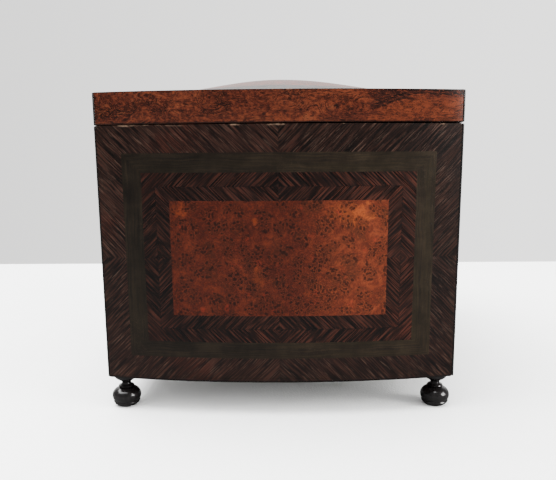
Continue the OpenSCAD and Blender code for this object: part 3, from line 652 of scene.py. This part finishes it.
for face in ("left", "right", "front", "back"):
    dress(crossband_wood(face), face + "_crossband")
    dress(green_wood(face), face + "_green_band")
    dress(chevron_wood(face), face + "_chevron_band")
    dress(burr_wood(face), face + "_burr_panel")
dress(nodes["right_crossband"].material_slots[0].material, "drawer_front_veneer")
dress(crossband_wood("top"), "lid_top_crossband")
dress(green_wood("top"), "lid_top_green_band")
dress(chevron_wood("top"), "lid_top_chevron_band")
dress(burr_wood("top"), "lid_top_burr")
dress(rim_wood(), "lid_rim_veneer")
dress(ebony(), "corner_stringings", "lid_corner_stringings", "foot_front_left",
      "foot_back_left", "foot_back_right", "foot_front_right")

MAHOGANY = (0.20, 0.088, 0.040), (0.085, 0.032, 0.014)
PALE_WOOD = (0.52, 0.33, 0.17), (0.28, 0.16, 0.075)
dress(plain_wood("carcass_wood_x", "x", *MAHOGANY), "bottom_board", "false_bottom",
      "front_board", "back_board", "front_runner", "back_runner", "lid_front_rim",
      "lid_back_rim", "lid_top_panel")
dress(plain_wood("carcass_wood_y", "y", *MAHOGANY), "left_end_board", "right_end_board",
      "lid_left_rim", "lid_right_rim", "drawer_front")
dress(plain_wood("drawer_wood_x", "x", *PALE_WOOD), "drawer_sides", "drawer_floor")
dress(plain_wood("drawer_wood_y", "y", *PALE_WOOD), "drawer_back")

cloth_red = velvet()
cloth_satin = satin()
dress(cloth_red, "floor_lining", "wall_linings")
dress(cloth_satin, "lid_lining")

dress(metal("brass", (0.46, 0.29, 0.105), (0.17, 0.095, 0.038), 0.8, 0.30),
      "hinge_lower_leaves", "hinge_upper_leaves", "escutcheon", "lock_case", "lock_link_plate")
dress(metal("dark_brass", (0.33, 0.205, 0.078), (0.10, 0.058, 0.026), 0.8, 0.34),
      "hinge_lower_screws", "hinge_upper_screws", "hinge_pins", "lock_bolt", "turn_button")
dress(metal("key_steel", (0.30, 0.28, 0.25), (0.12, 0.075, 0.05), 0.7, 0.36), "key")


# ---- pieces that stand for faceted or plain CAD nodes ----

FINE = 6                       # mesh steps in one cell of the CAD's grid over the top
CLOTH_ANGLE = 80               # cloth is smooth over any fold flatter than this, in degrees


def new_piece(name, bm, mat, smooth_angle=35):
    bmesh.ops.recalc_face_normals(bm, faces=bm.faces)
    limit = math.radians(smooth_angle)
    for e in bm.edges:
        e.smooth = len(e.link_faces) == 2 and e.calc_face_angle(0) < limit
    for f in bm.faces:
        f.smooth = True
    me = bpy.data.meshes.new(name)
    bm.to_mesh(me)
    bm.free()
    me.materials.append(mat)
    ob = bpy.data.objects.new(name, me)
    bpy.context.collection.objects.link(ob)
    return ob


def eased(node, width, body):
    """A CAD node's shape again, with its sharp edges rubbed round."""
    bm = bmesh.new()
    bm.from_mesh(nodes[node].data)
    bmesh.ops.remove_doubles(bm, verts=bm.verts, dist=1e-6)
    bmesh.ops.dissolve_limit(bm, angle_limit=math.radians(0.3), verts=bm.verts, edges=bm.edges)
    corner = math.radians(40)
    sharp = [e for e in bm.edges if len(e.link_faces) == 2 and e.calc_face_angle(0) > corner]
    bmesh.ops.bevel(bm, geom=sharp, offset=width, segments=3, profile=0.5, affect="EDGES",
                    clamp_overlap=True)
    # flat faces keep their own normals beside the rounding
    ob = new_piece(node + "_eased", bm, nodes[node].material_slots[0].material, 15)
    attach(ob, body)
    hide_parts(node)


def on_top(u, v, z, rise):
    """A point of the lid's top; u and v run from -1 to 1 over its plan."""
    dome = DOME_RISE * max(0.0, (1 - u * u) * (1 - v * v)) ** 1.5
    front = FRONT_BOW * (1 - u * u) if v < 0 else 0
    return Vector((u * (TOP_X + END_BOW * (1 - v * v)), MID + v * (TOP_Y + front),
                   z + rise * dome))


def shell(inside, top, bottom, nu, nv):
    """A closed slab over the grid cells that are inside, between two surfaces of u and v."""
    bm = bmesh.new()
    made = {}

    def vert(i, j, layer):
        if (i, j, layer) not in made:
            at = (bottom, top)[layer](2 * i / nu - 1, 2 * j / nv - 1)
            made[i, j, layer] = bm.verts.new(at)
        return made[i, j, layer]

    cells = {(i, j) for i in range(nu) for j in range(nv) if inside(i, j)}
    for i, j in cells:
        ring = ((i, j), (i + 1, j), (i + 1, j + 1), (i, j + 1))
        bm.faces.new([vert(a, b, 1) for a, b in ring])
        bm.faces.new([vert(a, b, 0) for a, b in reversed(ring)])
        for k, (di, dj) in enumerate(((0, -1), (1, 0), (0, 1), (-1, 0))):
            if (i + di, j + dj) not in cells:
                a, b = ring[k], ring[(k + 1) % 4]
                bm.faces.new((vert(*a, 0), vert(*b, 0), vert(*b, 1), vert(*a, 1)))
    return bm


def top_band(node):
    """A smooth band of the domed top's veneer."""
    nu, nv = CELLS_U * FINE, CELLS_V * FINE
    outer, inner = TOP_RINGS[node]

    def inside(i, j):
        return outer <= min(i, nu - 1 - i, j, nv - 1 - j) // FINE < inner

    bm = shell(inside, lambda u, v: on_top(u, v, RIM_Z, 1),
               lambda u, v: on_top(u, v, RIM_Z - VENEER, 1), nu, nv)
    ob = new_piece(node + "_smooth", bm, nodes[node].material_slots[0].material)
    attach(ob, "lid")
    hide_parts(node)


top_band("lid_top_crossband")
top_band("lid_top_green_band")
top_band("lid_top_chevron_band")
top_band("lid_top_burr")
eased("lid_rim_veneer", 0.0006, "lid")
eased("corner_stringings", 0.0006, "case")
eased("lid_corner_stringings", 0.0007, "lid")


# ---- soft linings ----

PLEAT_X, PLEAT_Y = 0.046, 0.040     # the diamonds of the lid's padding
PAD_Z = RIM_Z - 0.0065              # where the padding meets the lid's panel, under the rim
PAD_U, PAD_V = 1 - 6 / CELLS_U, 1 - 6 / CELLS_V    # the padding's reach, three cells in
# a covered button's outline, turned round its axis: radius and height
BUTTON = ((0.0, -0.0016), (0.0014, -0.0014), (0.0024, -0.0007), (0.0027, 0.0003),
          (0.0020, 0.0016))
BUTTON_SIDES = 16


def crown(d, reach):
    """0 at an edge, rising smoothly to 1 at reach from it."""
    k = min(1.0, max(0.0, d / reach))
    return math.sin(k * math.pi / 2) ** 0.8


def pleats(x, d):
    """Height of the buttoned padding: full in each diamond, pinched at its edges."""
    a, b = x / PLEAT_X + d / PLEAT_Y, x / PLEAT_X - d / PLEAT_Y
    return abs(math.sin(math.pi * a) * math.sin(math.pi * b)) ** 0.42


def lid_pad():
    def under(u, v):
        p = on_top(u * PAD_U, v * PAD_V, PAD_Z - 0.0036, 0.7)
        rim = crown(min((1 - abs(u)) * 0.12, (1 - abs(v)) * 0.08), 0.010)
        p.z -= rim * (0.0006 + 0.0042 * pleats(p.x, p.y - MID))
        return p

    def over(u, v):
        return on_top(u * PAD_U, v * PAD_V, PAD_Z - 0.0004, 0.8)

    bm = shell(lambda i, j: True, over, under, 200, 150)
    pad = new_piece("lid_satin_padding", bm, cloth_satin, CLOTH_ANGLE)
    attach(pad, "lid")
    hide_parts("lid_lining")


def button(bm, x, d):
    """One covered button, turned from its outline."""
    u, v = x / TOP_X, d / TOP_Y
    z = PAD_Z - 0.0046 + 0.7 * DOME_RISE * ((1 - u * u) * (1 - v * v)) ** 1.5
    turn = 2 * math.pi / BUTTON_SIDES
    last = None
    for r, dz in BUTTON:
        sides = BUTTON_SIDES if r else 1
        now = [bm.verts.new((x + r * math.cos(k * turn), MID + d + r * math.sin(k * turn), z + dz))
               for k in range(sides)]
        if last:
            for k in range(BUTTON_SIDES):
                after = (k + 1) % BUTTON_SIDES
                quad = [last[k % len(last)], last[after % len(last)], now[after], now[k]]
                bm.faces.new(dict.fromkeys(quad))
        last = now
    bm.faces.new(reversed(last))


def lid_buttons():
    """Covered buttons where the pleats meet."""
    bm = bmesh.new()
    for m in range(-8, 9):
        for n in range(-8, 9):
            x, d = (m + n) / 2 * PLEAT_X, (m - n) / 2 * PLEAT_Y
            if abs(x) <= HX * PAD_U - 0.016 and abs(d) <= HY * PAD_V - 0.012:
                button(bm, x, d)
    buttons = new_piece("lid_satin_buttons", bm, cloth_satin, CLOTH_ANGLE)
    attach(buttons, "lid")


def card(name, at, size, normal, nu, nv, hole=None):
    """A cloth-covered card: padded a little, its edges turned over. at is its middle, size its
    two lengths, and normal the axis its face looks along, from 1 to 3, with a sign. A hole is
    a notch in its upper edge: its two ends and its lowest height."""
    axis = abs(normal) - 1
    sign = 1 if normal > 0 else -1
    p_axis, q_axis = [k for k in (0, 1, 2) if k != axis]
    half = LINING / 2

    def back(u, v):
        p = Vector(at)
        p[p_axis] += u * size[0] / 2
        p[q_axis] += v * size[1] / 2
        p[axis] -= sign * half
        return p

    def front(u, v):
        p = back(u, v)
        a, b = p[p_axis], p[q_axis]
        d = min((1 - abs(u)) * size[0] / 2, (1 - abs(v)) * size[1] / 2)
        if hole:
            (x0, x1), z0 = hole
            d = min(d, Vector((max(x0 - a, 0, a - x1), max(z0 - b, 0))).length)
        wave = 0.00018 * math.sin(a * 210 + 1.3 * math.sin(b * 130)) * math.sin(b * 170 + 0.8)
        turned_edge = half * (0.25 + 0.75 * crown(d, 0.0022))
        padding = 0.0007 * crown(d, 0.020) + wave * crown(d, 0.01)
        p[axis] += sign * (half + turned_edge + padding)
        return p

    def inside(i, j):
        if not hole:
            return True
        x = at[p_axis] + ((i + 0.5) / nu - 0.5) * size[0]
        z = at[q_axis] + ((j + 0.5) / nv - 0.5) * size[1]
        return not (hole[0][0] < x < hole[0][1] and z > hole[1])

    return new_piece(name, shell(inside, front, back, nu, nv), cloth_red, CLOTH_ANGLE)


def red_linings():
    lo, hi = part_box("floor_lining")
    floor = card("velvet_floor_pad", (lo + hi) / 2, ((hi - lo).x, (hi - lo).y), 3, 150, 100)
    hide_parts("floor_lining")
    lo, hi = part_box("wall_linings")
    lo_lock, hi_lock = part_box("lock_case")
    mid, half = (lo + hi) / 2, LINING / 2
    long_card = (hi.x - lo.x - 2 * LINING - 0.0002, hi.z - lo.z)
    end_card = (hi.y - lo.y, hi.z - lo.z)
    hole = ((lo_lock.x - 0.001, hi_lock.x + 0.001), lo_lock.z - 0.001)
    walls = [
        card("velvet_card_front", (mid.x, lo.y + half, mid.z), long_card, 2, 150, 72, hole),
        card("velvet_card_back", (mid.x, hi.y - half, mid.z), long_card, -2, 150, 72),
        card("velvet_card_left", (lo.x + half, mid.y, mid.z), end_card, 1, 100, 72),
        card("velvet_card_right", (hi.x - half, mid.y, mid.z), end_card, -1, 100, 72),
    ]
    for ob in walls:
        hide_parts("wall_linings")
    for ob in [floor, *walls]:
        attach(ob, "case")


lid_pad()
lid_buttons()
red_linings()


# ---- floor, light ----

def make_floor():
    """The table: it ends at 0.393, where the photo's meets the wall."""
    x0, x1, y0, y1, steps = -3.0, 0.393, -3.0, 3.0, 24
    bm = bmesh.new()
    grid = [[bm.verts.new((x0 + (x1 - x0) * i / steps, y0 + (y1 - y0) * j / steps, 0))
             for i in range(steps + 1)] for j in range(steps + 1)]
    for near, far in zip(grid, grid[1:]):
        for i in range(steps):
            bm.faces.new((near[i], near[i + 1], far[i + 1], far[i]))
    me = bpy.data.meshes.new("table")
    bm.to_mesh(me)
    bm.free()
    floor = bpy.data.objects.new("table_cover", me)
    bpy.context.collection.objects.link(floor)
    me.materials.append(floor_cloth())


def lamp(name, at, aim, power, size, colour=(1, 1, 1)):
    data = bpy.data.lights.new(name, "AREA")
    data.shape = "RECTANGLE"
    data.size, data.size_y = size
    data.energy = power
    data.color = colour
    ob = bpy.data.objects.new(name, data)
    bpy.context.collection.objects.link(ob)
    ob.location = at
    ob.rotation_mode = "QUATERNION"
    ob.rotation_quaternion = (Vector(aim) - Vector(at)).to_track_quat("-Z", "Y")


def make_world():
    """A pale wall behind the object, and a dimmer room round it for light and reflections."""
    world = bpy.data.worlds.new("wall")
    bpy.context.scene.world = world
    world.use_nodes = True
    nt = world.node_tree

    def node(kind, links, **values):
        """A new node; links and values are for its inputs, by name or number."""
        n = nt.nodes.new("ShaderNode" + kind)
        for key, socket in links.items():
            nt.links.new(socket, n.inputs[key])
        for key, value in values.items():
            n.inputs[key.replace("_", " ")].default_value = value
        return n

    place = node("TexCoord", {}).outputs["Generated"]
    split = node("SeparateXYZ", {0: place})
    path = node("LightPath", {})
    ahead = node("MapRange", {"Value": split.outputs["X"]}, From_Min=0.35, From_Max=0.85,
                 To_Min=ROOM_LIGHT, To_Max=WALL_LIGHT)
    ahead.interpolation_type = "SMOOTHSTEP"
    # diffuse light from the room is stronger than what the gloss mirrors of it
    soft = node("Math", {0: path.outputs["Is Diffuse Ray"]})
    soft.operation = "MULTIPLY"
    soft.inputs[1].default_value = FILL_LIGHT
    fill = node("Math", {0: soft.outputs[0], 1: ahead.outputs[0]})
    fill.operation = "MAXIMUM"
    side = node("MapRange", {"Value": split.outputs["Y"]}, From_Min=0.42, From_Max=-0.35,
                To_Min=WALL_BACK, To_Max=WALL_FRONT)
    # under the line where the table's edge meets the wall, the table's own white goes on
    under = node("MapRange", {"Value": split.outputs["Z"]}, From_Min=-0.20, From_Max=-0.26)
    below = node("Mix", {0: under.outputs[0], 2: side.outputs[0]})
    below.inputs[3].default_value = TABLE_LIGHT
    seen = node("Mix", {0: path.outputs["Is Camera Ray"], 2: fill.outputs[0],
                        3: below.outputs[0]})
    back = nt.nodes["Background"]
    nt.links.new(seen.outputs[0], back.inputs["Strength"])
    back.inputs["Color"].default_value = (1.0, 0.995, 0.985, 1)


make_floor()
make_world()
lamp("ceiling", at=(0.0, 0.55, 1.7), aim=(-0.05, 0, 0), power=165, size=(1.9, 1.9))
lamp("window", at=(-0.70, -1.35, 0.60), aim=(-0.1, 0, 0.1), power=42, size=(0.7, 0.7),
     colour=(1.0, 0.985, 0.96))
